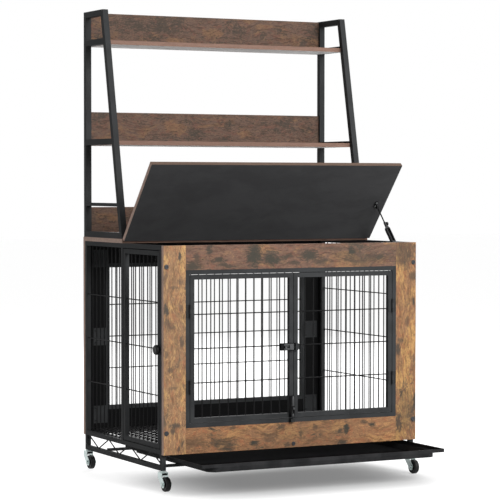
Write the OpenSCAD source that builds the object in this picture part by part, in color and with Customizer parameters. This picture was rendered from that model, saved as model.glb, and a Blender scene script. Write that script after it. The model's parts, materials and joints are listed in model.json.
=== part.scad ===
// Two-door wire crate with timber-look end panels, a lift-up lid,
// a pull-out tray, swivelling casters and a shelf hutch on top.
// Millimetres, +Z up, the doors with two leaves face -Y.

/* [Node] */
// Piece to build, or all of them

/* [Crate] */
// Width over the side frames
crate_w = 1000; // [800:1:1200]
// Depth over the two end panels
crate_d = 692; // [600:1:800]
// Height of the underside of the end panels
panel_z0 = 122.8; // [115:0.1:150]
// Height of the end panels
panel_h = 709.9; // [600:0.1:800]
// Thickness of every board
board_t = 15; // [12:0.5:18]
// Width of the upright boards of an end panel
stile_w = 83; // [60:1:110]
// Height of the lower board of an end panel
rail_low_h = 88; // [60:1:110]
// Height of the upper board of an end panel
rail_top_h = 84; // [60:1:110]
// Side of the square tube of the crate frame
tube = 16; // [12:1:20]
// Height of the underside of the lowest side tube
low_rail_z = 68; // [66:1:75]
// Thickness of the welded wires
wire_d = 4; // [2.5:0.1:5]
// Free height left between two crossing wire layers
weld_gap = 0.05; // [0.05:0.05:0.2]
// Thickness of the zigzag brace wire
brace_d = 4.6; // [3:0.1:6]
// Half period of the zigzag brace
brace_step = 91.6; // [60:0.1:120]

/* [Front doors] */
// Width of the ring of tube set in an end panel
ring_w = 15; // [12:1:20]
// Width of the tube round a door leaf
door_tube = 16; // [12:1:20]
// Free gap above and below a front leaf
door_gap = 1.8; // [1:0.1:4]
// Free gap beside and between the front leaves
door_side_gap = 2; // [1:0.1:4]
// Upright wires in one front leaf
door_wires = 10; // [5:1:14]
// Height of the middle crosswise wire
cross_z = 480; // [400:1:560]
// Spacing of the crosswise wires of the end panels
cross_step_front = 117; // [80:1:140]
// Upright wires in the rear opening
back_wires = 23; // [12:1:30]

/* [Sides] */
// Length of the side door along the side
side_door_l = 300; // [250:1:330]
// Free gap between the front corner post and the side door
side_door_y = 2.5; // [1:0.1:4]
// Free gap above and below the side door
side_gap_z = 3; // [2:0.1:6]
// Free gap between the side door and the middle post
side_door_rear = 3.8; // [3.6:0.1:8]
// Spacing of the crosswise wires of the sides
cross_step_side = 159; // [120:1:180]
// Upright wires in the side door
side_door_wires = 7; // [4:1:10]
// Upright wires behind the side door
rear_side_wires = 8; // [4:1:12]
// Upright wires in the other side
right_side_wires = 17; // [9:1:24]

/* [Hinges and latches] */
// Outer radius of the door hinge knuckles
knuckle_r = 4.5; // [3:0.1:6]
// Radius of the door hinge pins
pin_r = 2.5; // [1.5:0.1:3]
// Radial clearance of pins and sliding bolts
run_gap = 0.05; // [0.02:0.01:0.1]
// Length of a door hinge
hinge_l = 45; // [30:1:60]
// Thickness of hinge leaves and plates
leaf_t = 1.5; // [1:0.1:3]
// Distance of the front hinges from mid height
hinge_off = 129; // [80:1:200]
// Depth of the side door pivots in the door
pivot_l = 10; // [6:1:14]
// Radius of the sliding bolts
bolt_r = 3.5; // [2.5:0.1:4]
// Depth of the bolt guides off the door face
guide_t = 13; // [9:0.5:14]
// Travel of the sliding bolts
bolt_travel = 14; // [8:1:16]
// Length of the middle bolt guide
latch_l = 51; // [40:1:60]
// Height of the middle bolt guide
latch_h = 25; // [16:1:30]
// Length of the drop bolt guide
drop_l = 74; // [50:1:80]
// Width of the drop bolt guide
drop_w = 15; // [12:1:16]
// Radius of the small bolt knobs
bolt_knob_r = 4; // [3:0.5:7]
// Radius of the round knob of the side door
side_knob_r = 17; // [10:0.5:18]
// Thickness of the round knob
side_knob_t = 15; // [10:0.5:16]
// Free gap between the round knob and the side door
side_knob_gap = 1.5; // [1:0.1:3]
// Radius of the shaft of the round knob
side_shaft_r = 3; // [2:0.1:4]
// Distance of that shaft from the edge of the side door
side_shaft_in = 5.5; // [5:0.1:8]
// Height of the round knob above the middle crosswise wire
side_knob_z = -1.4; // [-40:0.1:40]
// Reach of the latch tongue behind the corner post
tongue_l = 21; // [18:0.5:22]
// Width of the latch tongue
tongue_w = 10; // [6:0.5:10]
// Thickness of the latch tongue
tongue_t = 4; // [2:0.5:5]
// Clearance between pieces of different bodies
part_gap = 0.3; // [0.2:0.05:0.6]

/* [Tray] */
// Distance of the tray rim from the outside of the side frames
tray_side = 26; // [22:1:100]
// Length over the tray rim
tray_l = 620; // [500:1:640]
// How far the tray is pulled out at rest
tray_out = 238; // [0:1:300]
// Underside of the tray
tray_z0 = 89.3; // [80:0.1:100]
// Depth of the pan below the rim
tray_pan_h = 15.7; // [8:0.1:22]
// Height of the rim
tray_rim_h = 11.5; // [6:0.5:14]
// How far the rim stands out beyond each side of the pan
tray_ledge = 28; // [10:1:60]
// Wall thickness of the tray
tray_t = 2.5; // [2:0.1:4]
// How far the walls of the pan lean in
tray_lean = 5; // [1:0.5:12]
// Corner radius of the pan
tray_r = 50; // [10:1:60]
// Corner radius of the rim
rim_r = 8; // [4:1:30]
// Height of the bars that carry the tray
bar_h = 9; // [5:0.5:10]
// Place of the rear bar behind the front one
bar_step = 485; // [300:1:600]

/* [Floor] */
// Width of the bars that carry the floor grid
floor_bar_w = 9; // [6:0.5:14]
// Height of those bars
floor_bar_h = 11; // [8:0.5:14]
// Clearance between the floor grid and the side door, also as it turns
floor_gap = 0.6; // [0.3:0.1:3]
// Spacing of the floor wires
floor_pitch = 33; // [25:1:50]

/* [Casters] */
// Diameter of a caster wheel
wheel_d = 50; // [40:1:52]
// Width of a caster wheel
wheel_w = 18; // [12:1:22]
// Offset of the axle behind the swivel stem
trail = 25; // [18:1:30]
// Radius of a caster axle
axle_r = 3; // [2:0.5:4]
// Radius of a swivel stem
stem_r = 4.5; // [3:0.5:6]
// Thickness of the fork sheet
fork_t = 2; // [1.5:0.1:3]
// Underside of the lower fork bridge
fork_z = 52; // [51:0.5:54]
// Top of the upper fork bridge
fork_top_z = 64.5; // [62:0.5:66]
// Radius of the dust ring between the bridges
ring_r = 10; // [8:0.5:10]
// Radius of an axle nut
axle_nut_r = 6.5; // [4:0.5:8]
// Length of an axle nut
axle_nut_l = 6; // [3:0.5:8]

/* [Lid] */
// Length of the lid from its hinged edge
lid_l = 354.5; // [300:0.5:360]
// Distance of the hinge line from the front face
lid_y = 341; // [300:1:400]
// Opening angle at rest
lid_open = 49; // [10:1:70]
// Free gap between lid and rear board
lid_seam = 1; // [0.5:0.1:2]
// Outer radius of the lid hinge knuckles
lid_knuckle_r = 3; // [2:0.1:4]
// Radius of the lid hinge pins
lid_pin_r = 1.5; // [1:0.1:2]
// Length of a lid hinge
lid_hinge_l = 40; // [30:1:60]
// Width of a lid hinge leaf
lid_leaf_w = 20; // [12:1:30]
// Place of the lid hinges off the centre
lid_hinge_x = 328; // [200:1:420]

/* [Lid stay] */
// Distance of the stay from the outside of the side frames
stay_in = 32; // [30:1:60]
// Distance of the stay pivot in front of the lid hinge
stay_along = 161; // [120:1:220]
// Distance of the stay pivot below the lid
stay_drop = 8.2; // [7:0.1:14]
// Length from the pivot to the foot
stay_l = 176; // [150:1:200]
// Lean of the stay off the vertical at rest
stay_lean = 42.2; // [30:0.1:55]
// Length of the channel-shaped handle of the stay
sleeve_l = 80; // [60:1:100]
// Width of the handle
sleeve_w = 16; // [12:0.5:16]
// Depth of the handle
sleeve_d = 13; // [11:0.5:14]
// Wall thickness of the handle
sleeve_t = 2.2; // [1.5:0.1:3]
// Length of the collar above the handle
collar_l = 22; // [16:1:30]
// Radius of the collar
collar_r = 4.6; // [4:0.1:6]
// Radius of the clamp knob
clamp_knob_r = 7.5; // [5:0.5:8]
// Radius of the stay rod
rod_r = 2.4; // [2:0.1:3]
// Length of rod inside the handle at rest
rod_in = 22; // [16:1:30]
// Distance of the bracket screws from the stay
screw_in = 7; // [6:0.5:10]
// Radius of the catch pin on the side frame
catch_r = 3.5; // [2:0.5:5]
// Distance of the catch pin behind the front face
catch_y = 76; // [60:1:90]

/* [Hutch] */
// Height of the hutch
hutch_h = 818.3; // [600:0.1:1000]
// Side of the hutch tube
hutch_tube = 21; // [16:1:25]
// Inset of the hutch frames from the crate sides
hutch_in = 1; // [0:0.5:10]
// Distance of the rear post face in front of the crate back
hutch_back = 4; // [0:0.5:20]
// Foot of the front post behind the front face
hutch_foot_y = 345.5; // [342:0.5:400]
// Backward lean of the front post over its height
hutch_lean = 169; // [0:1:220]
// Height of the side frames above the underside of the upper rail
top_bay_h = 124; // [60:1:200]
// Step from the middle rail to the upper rail
shelf_step = 360; // [250:1:400]
// Underside of the thin side rail above the crate
thin_rail_z = 113.3; // [110:0.1:160]
// Height of the thin side rail
thin_rail_h = 12; // [6:0.5:21]
// Setback of a shelf behind the front posts
shelf_in = 17; // [0:1:60]
// Height of a hutch back board
back_board_h = 108.5; // [60:0.5:140]

/* [Origin] */
// Width shift that centres the whole part
origin_x = 3; // [0:0.05:30]
// Depth shift that centres the whole part
origin_y = -227.6; // [-400:0.1:0]

/* [Hidden] */
hw = crate_w / 2;
top_z = panel_z0 + panel_h;
open_x = hw - stile_w;
open_z0 = panel_z0 + rail_low_h;
open_z1 = top_z - rail_top_h;
post_y0 = board_t;
post_y1 = crate_d - board_t - tube;
side_x = hw - tube / 2;
rail_b_z = panel_z0 + tube;
rail_t_z = top_z - tube;
leaf_x1 = open_x - ring_w - door_side_gap;
leaf_x0 = door_side_gap / 2;
leaf_z0 = open_z0 + ring_w + door_gap;
leaf_z1 = open_z1 - ring_w - door_gap;
wire_r = wire_d / 2;
layer = wire_r + weld_gap / 2;
hinge_y = -(knuckle_r + 0.1);
hinge_x = open_x - ring_w - 1;
hinge_z = (leaf_z0 + leaf_z1) / 2;
sd_y0 = post_y0 + tube + side_door_y;
sd_y1 = sd_y0 + side_door_l;
sd_z0 = rail_b_z + side_gap_z;
sd_z1 = rail_t_z - side_gap_z;
mid_y = sd_y1 + side_door_rear;
sd_axis_y = sd_y1 - door_tube / 2;
latch_x1 = -leaf_x0 - 3;
latch_x0 = latch_x1 - latch_l;
latch_z = cross_z - 4.5;
bolt_y = -guide_t / 2;
drop_x = -leaf_x0 - door_tube / 2;
drop_z0 = leaf_z0 + 2;
knob_y = sd_y0 + side_shaft_in;
knob_z = cross_z + side_knob_z;
knob_x = -hw - side_knob_gap;
tray_w = crate_w - 2 * tray_side;
tray_z1 = tray_z0 + tray_pan_h;
tray_z2 = tray_z1 + tray_rim_h;
tray_y0 = -tray_out;
tray_y1 = tray_y0 + tray_l;
bar_z = tray_z0 - part_gap - bar_h;
floor_bar_z = sd_z0 - floor_gap;
floor_x1 = side_x - norm([tube, door_tube]) / 2 - floor_gap;
floor_x_z = floor_bar_z + weld_gap + wire_r;
floor_y_z = floor_x_z + wire_d + weld_gap;
lid_z = top_z + board_t + part_gap;
lid_axis_z = lid_z + lid_knuckle_r + 0.3;
pivot_c = [-stay_along, -(lid_axis_z - lid_z + board_t + stay_drop)];
pivot_y = lid_y + pivot_c[0] * cos(lid_open) + pivot_c[1] * sin(lid_open);
pivot_z = lid_axis_z - pivot_c[0] * sin(lid_open) + pivot_c[1] * cos(lid_open);
stay_x = hw - stay_in;
rod_l = stay_l - sleeve_l + rod_in;
clamp_a = stay_l - sleeve_l - collar_l + 7;
hz = top_z + board_t;
hy1 = crate_d - hutch_back;
hx1 = hw - hutch_in;
hx0 = hx1 - hutch_tube;
shelf_y1 = hy1 + 3;
top_rail_z = hutch_h - top_bay_h;
mid_rail_z = top_rail_z - shelf_step;

// ---------- shared shapes ----------

module place() {
    translate([origin_x, origin_y, 0])
        children();
}

module box(x0, x1, y0, y1, z0, z1) {
    translate([x0, y0, z0])
        cube([x1 - x0, y1 - y0, z1 - z0]);
}

module rod_x(x0, x1, y, z, r) {
    translate([x0, y, z])
        rotate([0, 90, 0])
            cylinder(h = x1 - x0, r = r, $fn = 32);
}

module rod_y(x, y0, y1, z, r) {
    translate([x, y0, z])
        rotate([-90, 0, 0])
            cylinder(h = y1 - y0, r = r, $fn = 32);
}

module rod_z(x, y, z0, z1, r) {
    translate([x, y, z0])
        cylinder(h = z1 - z0, r = r, $fn = 32);
}

module both_x() {
    children();
    mirror([1, 0, 0])
        children();
}

// A row of upright wires across x, evenly spread between two faces
module wires_z_across(n, x0, x1, y, z0, z1) {
    step = (x1 - x0) / (n + 1);
    for (i = [1 : n])
        rod_z(x0 + i * step, y, z0, z1, wire_r);
}

// A row of upright wires along y
module wires_z_along(n, x, y0, y1, z0, z1) {
    step = (y1 - y0) / (n + 1);
    for (i = [1 : n])
        rod_z(x, y0 + i * step, z0, z1, wire_r);
}

// A rectangular ring standing across x
module ring_xz(x0, x1, y0, y1, z0, z1, w) {
    difference() {
        box(x0, x1, y0, y1, z0, z1);
        box(x0 + w, x1 - w, y0 - 1, y1 + 1, z0 + w, z1 - w);
    }
}

// ---------- crate frame ----------

module side_frame() {
    x0 = hw - tube;
    box(x0, hw, post_y0, post_y0 + tube, low_rail_z, top_z);
    box(x0, hw, post_y1, post_y1 + tube, low_rail_z, top_z);
    box(x0, hw, post_y0 + tube, post_y1, low_rail_z, low_rail_z + tube);
    box(x0, hw, post_y0 + tube, post_y1, panel_z0, rail_b_z);
    box(x0, hw, post_y0 + tube, post_y1, rail_t_z, top_z);
}

module left_side_frame() {
    color([0.26, 0.27, 0.28]) place() {
        mirror([1, 0, 0])
            side_frame();
        box(-hw, tube - hw, mid_y, mid_y + tube, rail_b_z, rail_t_z);
    }
}

module right_side_frame() {
    color([0.26, 0.27, 0.28]) place()
        side_frame();
}

module left_side_wires() {
    color([0.2, 0.2, 0.21]) place() {
        wires_z_along(rear_side_wires, -side_x + layer, mid_y + tube, post_y1, rail_b_z, rail_t_z);
        for (k = [-1 : 1])
            rod_y(-side_x - layer, mid_y + tube, post_y1, cross_z + k * cross_step_side, wire_r);
    }
}

module right_side_wires() {
    color([0.2, 0.2, 0.21]) place() {
        wires_z_along(right_side_wires, side_x - layer, post_y0 + tube, post_y1, rail_b_z, rail_t_z);
        for (k = [-1 : 1])
            rod_y(side_x + layer, post_y0 + tube, post_y1, cross_z + k * cross_step_side, wire_r);
    }
}

// Zigzag of straight wires between the two lower side tubes, cut flush with their faces
module side_brace() {
    z0 = low_rail_z + tube;
    z1 = panel_z0;
    foot = brace_d * 1.6;
    dy = brace_step - foot;
    dz = z1 - z0;
    len = sqrt(dy * dy + dz * dz);
    lean = atan2(dy, dz);
    over = 2.6 * brace_d;
    n = round((post_y1 - post_y0 - tube / 2) / brace_step);
    first = post_y1 + 2.5 - n * brace_step;
    intersection() {
        union() {
            for (i = [0 : n - 1])
                translate([side_x, first + i * brace_step + foot / 2 + (i % 2) * dy, z0])
                    rotate([(i % 2 == 0) ? -lean : lean, 0, 0])
                        translate([0, 0, -over])
                            cylinder(h = len + 2 * over, r = brace_d / 2, $fn = 32);
        }
        box(hw - tube, hw, post_y0 + tube, post_y1, z0, z1);
    }
}

module left_side_brace() {
    color([0.26, 0.27, 0.28]) place()
        mirror([1, 0, 0])
            side_brace();
}

module right_side_brace() {
    color([0.26, 0.27, 0.28]) place()
        side_brace();
}

module tray_bars() {
    color([0.26, 0.27, 0.28]) place() {
        box(tube - hw, hw - tube, post_y0, post_y0 + tube, bar_z, bar_z + bar_h);
        box(tube - hw, hw - tube, post_y0 + bar_step, post_y0 + bar_step + tube, bar_z, bar_z + bar_h);
    }
}

module floor_grid() {
    y0 = post_y0 + tube + 2;
    y1 = post_y1 - 2;
    xw = hw - 2 * tube + 5;
    nx = floor((2 * xw - 8) / floor_pitch);
    ny = floor((y1 - y0 - 8) / floor_pitch);
    color([0.2, 0.2, 0.21]) place() {
        both_x()
            box(hw - tube - floor_bar_w, hw - tube, y0, y1, floor_bar_z - floor_bar_h, floor_bar_z);
        for (i = [0 : ny])
            rod_x(-floor_x1, floor_x1, y0 + 4 + i * (y1 - y0 - 8) / ny, floor_x_z, wire_r);
        for (i = [0 : nx])
            rod_y(-xw + 4 + i * (2 * xw - 8) / nx, y0, y1, floor_y_z, wire_r);
    }
}

// ---------- end panels ----------

module end_stile(side, y0) {
    x0 = (side < 0) ? -hw : open_x;
    box(x0, x0 + stile_w, y0, y0 + board_t, panel_z0, top_z);
}

module front_left_stile() {
    color([0.72, 0.57, 0.41]) place()
        end_stile(-1, 0);
}

module front_right_stile() {
    color([0.62, 0.5, 0.38]) place()
        end_stile(1, 0);
}

module front_top_rail() {
    color([0.52, 0.44, 0.37]) place()
        box(-open_x, open_x, 0, board_t, open_z1, top_z);
}

module front_bottom_rail() {
    color([0.52, 0.44, 0.37]) place()
        box(-open_x, open_x, 0, board_t, panel_z0, open_z0);
}

module back_left_stile() {
    color([0.62, 0.5, 0.38]) place()
        end_stile(-1, crate_d - board_t);
}

module back_right_stile() {
    color([0.62, 0.5, 0.38]) place()
        end_stile(1, crate_d - board_t);
}

module back_top_rail() {
    color([0.52, 0.44, 0.37]) place()
        box(-open_x, open_x, crate_d - board_t, crate_d, open_z1, top_z);
}

module back_bottom_rail() {
    color([0.52, 0.44, 0.37]) place()
        box(-open_x, open_x, crate_d - board_t, crate_d, panel_z0, open_z0);
}

module front_door_frame() {
    color([0.26, 0.27, 0.28]) place()
        ring_xz(-open_x, open_x, 0, board_t, open_z0, open_z1, ring_w);
}

module back_mesh_frame() {
    color([0.26, 0.27, 0.28]) place()
        ring_xz(-open_x, open_x, crate_d - board_t, crate_d, open_z0, open_z1, ring_w);
}

module back_mesh_wires() {
    y = crate_d - board_t / 2;
    xi = open_x - ring_w;
    color([0.2, 0.2, 0.21]) place() {
        wires_z_across(back_wires, -xi, xi, y + layer, open_z0 + ring_w, open_z1 - ring_w);
        for (k = [-1 : 1])
            rod_x(-xi, xi, y - layer, cross_z + k * cross_step_front, wire_r);
    }
}

// Flat steel plates that tie the steel rings to the boards from inside
module joining_plates() {
    pw = 59;
    ph = 64;
    x0 = open_x - 5;
    color([0.26, 0.27, 0.28]) place()
        both_x()
            for (z = [open_z0 - 17, cross_z, open_z1 + 19])
                for (y = [board_t, crate_d - board_t - leaf_t])
                    box(x0, x0 + pw, y, y + leaf_t, z - ph / 2, z + ph / 2);
}

// Plugs over the connecting screws of the end panels
module screw_caps() {
    cap_x = hw - 11;
    cap_t = 1.2;
    color([0.08, 0.08, 0.09]) place() {
        both_x()
            for (z = [open_z0 - 14, open_z1 + 12]) {
                rod_y(cap_x, -cap_t, 0, z, 7.5);
                rod_y(cap_x, crate_d, crate_d + cap_t, z, 7.5);
            }
        rod_y(0, -cap_t, 0, panel_z0 + 12.5, 6.5);
    }
}

// ---------- hinges ----------

// Fixed half of an upright hinge on the face y = 0: leaf to +x, two knuckles and the pin
module hinge_fixed() {
    mid = hinge_l / 6;
    box(knuckle_r + 0.5, knuckle_r + 10.5, -leaf_t, 0, -hinge_l / 2, hinge_l / 2);
    for (s = [-1, 1]) {
        z0 = (s < 0) ? -hinge_l / 2 : mid + part_gap;
        z1 = (s < 0) ? -mid - part_gap : hinge_l / 2;
        box(0, knuckle_r + 0.5, -leaf_t, -0.1, z0, z1);
        rod_z(0, hinge_y, z0, z1, knuckle_r);
    }
    rod_z(0, hinge_y, -hinge_l / 2, hinge_l / 2, pin_r);
}

// Moving half: leaf to -x and the middle knuckle, bored for the pin
module hinge_moving() {
    mid = hinge_l / 6;
    difference() {
        union() {
            box(-knuckle_r - 10.5, -knuckle_r - 0.5, -leaf_t, 0, -hinge_l / 2, hinge_l / 2);
            box(-knuckle_r - 0.5, 0, -leaf_t, -0.1, -mid, mid);
            rod_z(0, hinge_y, -mid, mid, knuckle_r);
        }
        rod_z(0, hinge_y, -mid - 1, mid + 1, pin_r + run_gap);
    }
}

module front_hinge_fixed_halves() {
    color([0.3, 0.31, 0.32]) place()
        both_x()
            for (s = [-1, 1])
                translate([hinge_x, 0, hinge_z + s * hinge_off])
                    hinge_fixed();
}

// Upright pins with shoulders that the side door turns on
module side_door_pins() {
    r1 = pin_r + 3;
    color([0.3, 0.31, 0.32]) place() {
        rod_z(-side_x, sd_axis_y, rail_b_z, sd_z0 - part_gap, r1);
        rod_z(-side_x, sd_axis_y, rail_b_z, sd_z0 + pivot_l, pin_r);
        rod_z(-side_x, sd_axis_y, sd_z1 + part_gap, rail_t_z, r1);
        rod_z(-side_x, sd_axis_y, sd_z1 - pivot_l, rail_t_z, pin_r);
    }
}

// ---------- front doors ----------

// The leaf on the +x side; the other one is its mirror image
module front_leaf() {
    ring_xz(leaf_x0, leaf_x1, 0, board_t, leaf_z0, leaf_z1, door_tube);
    for (s = [-1, 1])
        translate([hinge_x, 0, hinge_z + s * hinge_off])
            hinge_moving();
}

module front_leaf_wires() {
    x0 = leaf_x0 + door_tube;
    x1 = leaf_x1 - door_tube;
    wires_z_across(door_wires, x0, x1, board_t / 2 + layer, leaf_z0 + door_tube, leaf_z1 - door_tube);
    for (k = [-1 : 1])
        rod_x(x0, x1, board_t / 2 - layer, cross_z + k * cross_step_front, wire_r);
}

module left_front_door() {
    color([0.28, 0.29, 0.3]) place()
        mirror([1, 0, 0])
            front_leaf();
}

module right_front_door() {
    color([0.28, 0.29, 0.3]) place()
        front_leaf();
}

module left_front_door_wires() {
    color([0.2, 0.2, 0.21]) place()
        mirror([1, 0, 0])
            front_leaf_wires();
}

module right_front_door_wires() {
    color([0.2, 0.2, 0.21]) place()
        front_leaf_wires();
}

// Guides of the middle bolt and of the drop bolt on the left leaf
module bolt_guides() {
    color([0.3, 0.31, 0.32]) place() {
        difference() {
            box(latch_x0, latch_x1, -guide_t, 0, latch_z - latch_h / 2, latch_z + latch_h / 2);
            rod_x(latch_x0 - 1, latch_x1 + 1, bolt_y, latch_z, bolt_r + run_gap);
            box(latch_x0 + 12, latch_x0 + 12 + bolt_travel + 6, -guide_t - 1, bolt_y,
                latch_z - 2.6, latch_z + 2.6);
        }
        difference() {
            box(drop_x - drop_w / 2, drop_x + drop_w / 2, -guide_t, 0, drop_z0, drop_z0 + drop_l);
            rod_z(drop_x, bolt_y, drop_z0 - 1, drop_z0 + drop_l + 1, bolt_r + run_gap);
            box(drop_x - 2.6, drop_x + 2.6, -guide_t - 1, bolt_y,
                drop_z0 + 14, drop_z0 + 14 + bolt_travel + 6);
        }
    }
}

module latch_bolt() {
    hx = latch_x0 + 15;
    color([0.35, 0.36, 0.37]) place() {
        rod_x(latch_x0 + 4, latch_x1 - 0.5, bolt_y, latch_z, bolt_r);
        rod_y(hx, -guide_t - 4, bolt_y, latch_z, 2.4);
        rod_y(hx, -guide_t - 9, -guide_t - 3.5, latch_z, bolt_knob_r);
    }
}

module drop_bolt() {
    hz0 = drop_z0 + 14 + bolt_travel + 3;
    color([0.35, 0.36, 0.37]) place() {
        rod_z(drop_x, bolt_y, drop_z0 + 0.5, drop_z0 + drop_l - 4, bolt_r);
        rod_y(drop_x, -guide_t - 4, bolt_y, hz0, 2.4);
        rod_y(drop_x, -guide_t - 9, -guide_t - 3.5, hz0, bolt_knob_r);
    }
}

// Staple on the right leaf that takes the middle bolt
module latch_keeper() {
    x0 = leaf_x0 + 1;
    x1 = leaf_x0 + door_tube - 2;
    h = latch_h / 2;
    color([0.3, 0.31, 0.32]) place()
        difference() {
            translate([0, 0, latch_z])
                rotate([90, 0, 0])
                    linear_extrude(height = guide_t)
                        polygon([[x0, -h], [x1 - 4, -h], [x1, 4 - h], [x1, h - 4], [x1 - 4, h], [x0, h]]);
            box(x0 - 1, x1 + 1, bolt_y - bolt_r - 1, 1, latch_z - bolt_r - 0.4, latch_z + bolt_r + 0.4);
        }
}

// Staple on the fixed frame that takes the drop bolt
module bolt_keeper() {
    w = drop_w / 2;
    color([0.3, 0.31, 0.32]) place()
        difference() {
            box(drop_x - w, drop_x + w, -guide_t, 0, open_z0 + 1, open_z0 + ring_w - 1);
            box(drop_x - bolt_r - 0.4, drop_x + bolt_r + 0.4, bolt_y - bolt_r - 1, 1,
                open_z0, open_z0 + ring_w);
        }
}

// ---------- side door ----------

module side_door() {
    rb = pin_r + run_gap;
    color([0.28, 0.29, 0.3]) place()
        difference() {
            box(-hw, tube - hw, sd_y0, sd_y1, sd_z0, sd_z1);
            box(-hw - 1, tube - hw + 1, sd_y0 + door_tube, sd_y1 - door_tube,
                sd_z0 + door_tube, sd_z1 - door_tube);
            rod_z(-side_x, sd_axis_y, sd_z0 - 1, sd_z0 + pivot_l + 2, rb);
            rod_z(-side_x, sd_axis_y, sd_z1 - pivot_l - 2, sd_z1 + 1, rb);
            rod_x(-hw - 1, tube - hw + 1, knob_y, knob_z, side_shaft_r + run_gap);
        }
}

module side_door_wires() {
    y0 = sd_y0 + door_tube;
    y1 = sd_y1 - door_tube;
    color([0.2, 0.2, 0.21]) place() {
        wires_z_along(side_door_wires, -side_x + layer, y0, y1, sd_z0 + door_tube, sd_z1 - door_tube);
        for (k = [-1 : 1])
            rod_y(-side_x - layer, y0, y1, cross_z + k * cross_step_side, wire_r);
    }
}

// Shaft of the round knob, through the front tube of the side door
module side_shaft() {
    color([0.35, 0.36, 0.37]) place()
        rod_x(knob_x - 8, tube - hw + part_gap, knob_y, knob_z, side_shaft_r);
}

// Tongue on the inner end of the shaft, which turns behind the corner post
module side_tongue() {
    x0 = tube - hw + part_gap;
    color([0.35, 0.36, 0.37]) place() {
        rod_x(x0, x0 + tongue_t, knob_y, knob_z, tongue_w / 2);
        box(x0, x0 + tongue_t, knob_y - tongue_w / 2, knob_y + tongue_w / 2,
            knob_z, knob_z + tongue_l);
    }
}

module side_knob() {
    r = side_knob_r;
    t = side_knob_t;
    color([0.08, 0.08, 0.09]) place()
        translate([knob_x, knob_y, knob_z])
            rotate([0, -90, 0])
                rotate_extrude($fn = 48)
                    polygon([[side_shaft_r + run_gap, 0], [r - 4, 0], [r - 2, 2], [r, 5], [r, t - 4],
                             [r - 1.5, t - 1.5], [r - 5, t], [0, t - 1.5], [0, 8],
                             [side_shaft_r + run_gap, 8]]);
}

// ---------- tray ----------

// Block from z0 to z1 with rounded upright edges
module round_block(x, y0, y1, z0, z1, r) {
    box(r - x, x - r, y0, y1, z0, z1);
    box(-x, x, y0 + r, y1 - r, z0, z1);
    for (cx = [r - x, x - r])
        for (cy = [y0 + r, y1 - r])
            translate([cx, cy, z0])
                cylinder(h = z1 - z0, r = r, $fn = 64);
}

// Outside of the tray, shrunk by a wall thickness for the inside: a pan under a wider rim
module tray_form(t) {
    xr = tray_w / 2 - t;
    xp = xr - tray_ledge;
    z0 = tray_z0 + t;
    z1 = tray_z1 + t;
    z2 = tray_z2 + ((t > 0) ? 1 : 0);
    ya = tray_y0 + t;
    yb = tray_y1 - t;
    round_block(xr, ya, yb, z1, z2, rim_r - t);
    intersection() {
        rotate([90, 0, 0])
            translate([0, 0, -yb - 10])
                linear_extrude(height = yb - ya + 20)
                    polygon([[tray_lean - xp, z0], [xp - tray_lean, z0], [xp, z1], [xp, z2],
                             [-xp, z2], [-xp, z1]]);
        translate([-xr, 0, 0])
            rotate([90, 0, 90])
                linear_extrude(height = 2 * xr)
                    polygon([[ya + tray_lean, z0], [yb - tray_lean, z0], [yb, z1], [yb, z2],
                             [ya, z2], [ya, z1]]);
        round_block(xp, ya, yb, z0 - 1, z2 + 1, tray_r - t);
    }
}

module tray() {
    color([0.07, 0.07, 0.075]) place()
        difference() {
            tray_form(0);
            tray_form(tray_t);
        }
}

// ---------- casters ----------

caster_x = hw - tube / 2;
caster_y0 = post_y0 + tube / 2;
caster_y1 = post_y1 + tube / 2;
wheel_r = wheel_d / 2;
cheek_x = wheel_w / 2 + 1.5;

module caster_fork(x, y) {
    ax = y - trail;
    zb = fork_top_z - fork_t - 0.5;
    color([0.75, 0.8, 0.82]) place()
        difference() {
            union() {
                for (s = [-1, 1]) {
                    cx = (s < 0) ? x - cheek_x - fork_t : x + cheek_x;
                    translate([cx, 0, 0])
                        rotate([90, 0, 90])
                            linear_extrude(height = fork_t)
                                polygon([[ax - 11, wheel_r + 7], [ax - 12, wheel_r - 1],
                                         [ax - 8, wheel_r - 10], [ax - 1, wheel_r - 13],
                                         [ax + 7, wheel_r - 12], [ax + 13, wheel_r - 5],
                                         [y + 14, wheel_r + 21], [y + 14, fork_top_z], [y - 16, fork_top_z],
                                         [y - 16, wheel_r + 25]]);
                    rod_x((s < 0) ? cx - axle_nut_l : cx + fork_t,
                          (s < 0) ? cx : cx + fork_t + axle_nut_l, ax, wheel_r, axle_nut_r);
                }
                for (z = [fork_z, zb])
                    box(x - cheek_x - fork_t, x + cheek_x + fork_t, y - 16, y + 14, z, z + fork_t + 0.5);
                rod_x(x - cheek_x - 1, x + cheek_x + 1, ax, wheel_r, axle_r);
            }
            rod_z(x, y, fork_z - 1, fork_top_z + 1, stem_r + run_gap);
        }
}

module caster_wheel(x, y) {
    h = wheel_w / 2;
    b = axle_r + run_gap;
    color([0.06, 0.06, 0.065]) place()
        translate([x, y - trail, wheel_r])
            rotate([0, 90, 0])
                rotate_extrude($fn = 64)
                    polygon([[b, -h - 1], [8, -h - 1], [8, -h + 2], [wheel_r - 7, -h + 2], [wheel_r - 5, -h],
                             [wheel_r - 2, -h], [wheel_r, -h + 3], [wheel_r, h - 3], [wheel_r - 2, h],
                             [wheel_r - 5, h], [wheel_r - 7, h - 2], [8, h - 2], [8, h + 1], [b, h + 1]]);
}

module caster_fork_front_left() {
    caster_fork(-caster_x, caster_y0);
}

module caster_fork_front_right() {
    caster_fork(caster_x, caster_y0);
}

module caster_fork_rear_left() {
    caster_fork(-caster_x, caster_y1);
}

module caster_fork_rear_right() {
    caster_fork(caster_x, caster_y1);
}

module caster_wheel_front_left() {
    caster_wheel(-caster_x, caster_y0);
}

module caster_wheel_front_right() {
    caster_wheel(caster_x, caster_y0);
}

module caster_wheel_rear_left() {
    caster_wheel(-caster_x, caster_y1);
}

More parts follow.
